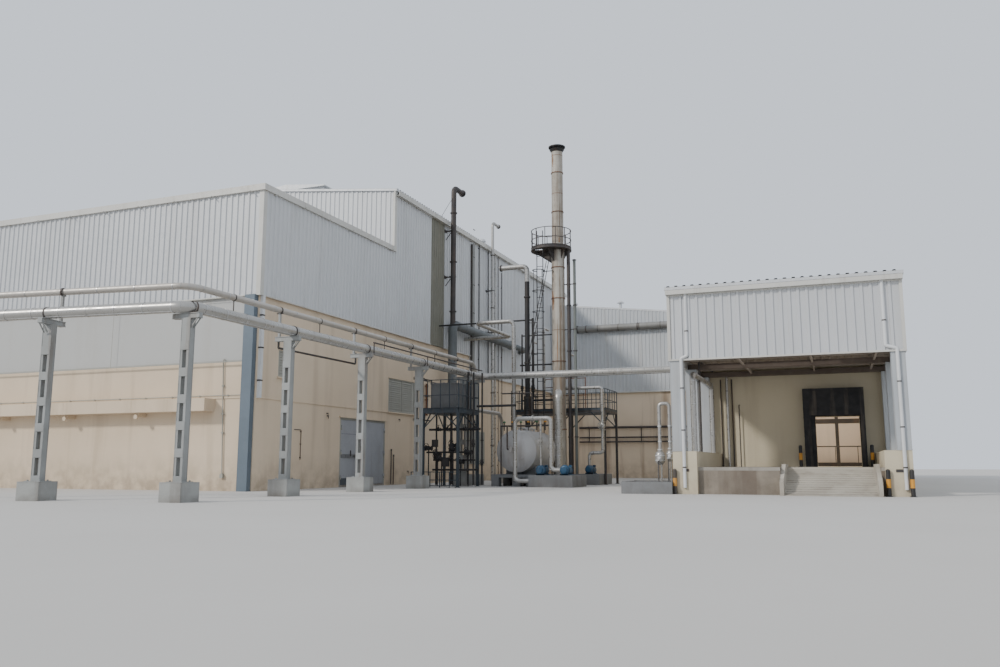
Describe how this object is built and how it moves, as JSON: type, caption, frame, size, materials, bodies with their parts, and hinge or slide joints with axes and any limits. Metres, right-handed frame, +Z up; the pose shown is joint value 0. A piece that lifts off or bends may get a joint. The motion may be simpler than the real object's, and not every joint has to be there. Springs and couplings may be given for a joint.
{
  "type": "factory building, scale model at 1:2",
  "caption": "Scale model at 1:2 of a steel-clad factory hall with a rear wing, a covered loading dock with a ramp, a stack, a tank, pumps and a pipe rack; the side door leaves open.",
  "frame": {"origin": "on the ground at the hall's front corner, where its short front meets its long side", "axes": "+X along the short front towards the loading dock, +Y along the hall's long side away from the yard entrance, +Z up"},
  "size_m": [22.92, 31.5392, 9.74],
  "materials": {
    "cladding": "satin",
    "translucent": "matte",
    "plaster": "matte",
    "panel": "satin",
    "roof_sheet": "satin",
    "trim": "satin",
    "column": "satin",
    "louvre": "satin",
    "door": "satin",
    "concrete": "matte",
    "curtain": "matte",
    "bollard": "satin",
    "dark_steel": "satin",
    "stack_steel": "matte",
    "insulation": "satin",
    "grey_duct": "satin",
    "tank": "satin",
    "blue_steel": "satin",
    "pump": "gloss"
  },
  "bodies": {
    "building": {"branch_duct": "grey_duct", "cladding_east": "cladding", "cladding_front": "cladding", "cladding_gable": "cladding", "concrete_plinths": "concrete", "condensate_vessels": "insulation", "corner_column": "column", "dock_beams": "dark_steel", "dock_bollards": "bollard", "dock_fascia": "cladding", "dock_frames": "trim", "dock_link": "plaster", "dock_platform": "concrete", "dock_ramp": "concrete", "dock_roof": "roof_sheet", "dock_shelter": "curtain", "dock_walls": "plaster", "door_frames": "louvre", "eave_gutters": "trim", "front_block_roof": "roof_sheet", "hall_floor": "concrete", "hall_roof": "roof_sheet", "insulated_pipes": "insulation", "ladder_cage": "dark_steel", "light_strip": "translucent", "louvred_windows": "louvre", "panels_front": "panel", "platform_housing": "louvre", "pumps": "pump", "rack_lower_pipe": "insulation", "rack_pedestals": "concrete", "rack_posts": "column", "rack_upper_pipe": "insulation", "rear_cladding": "cladding", "rear_walkway": "dark_steel", "rear_walls": "plaster", "roof_ventilators": "roof_sheet", "service_platform": "blue_steel", "side_risers": "dark_steel", "stack_cap": "stack_steel", "stack_ladder": "dark_steel", "stack_landing": "dark_steel", "stack_shell": "stack_steel", "tank_heads": "tank", "tank_shell": "tank", "tank_slab": "concrete", "vent_pipes": "dark_steel", "wall_east_north": "plaster", "wall_east_south": "plaster", "wall_front": "plaster", "wall_ledges": "plaster", "wall_over_door": "plaster", "white_downpipes": "trim", "wing_cladding_front": "cladding", "wing_pipes": "dark_steel", "wing_roof": "roof_sheet", "wing_wall_front": "plaster", "yard_railings": "blue_steel"},
    "door_leaf_left": {"door_leaf_left": "door"},
    "door_leaf_right": {"door_leaf_right": "door"}
  },
  "joints": [
    {"name": "left_leaf_hinge", "type": "hinge", "parent": "building", "child": "door_leaf_left", "pos_m": [0.018, 3.403, 0.05], "axis": [0, 0, -1], "range_deg": [0, 110]},
    {"name": "right_leaf_hinge", "type": "hinge", "parent": "building", "child": "door_leaf_right", "pos_m": [0.018, 5.547, 0.05], "axis": [0, 0, 1], "range_deg": [0, 110]}
  ]
}
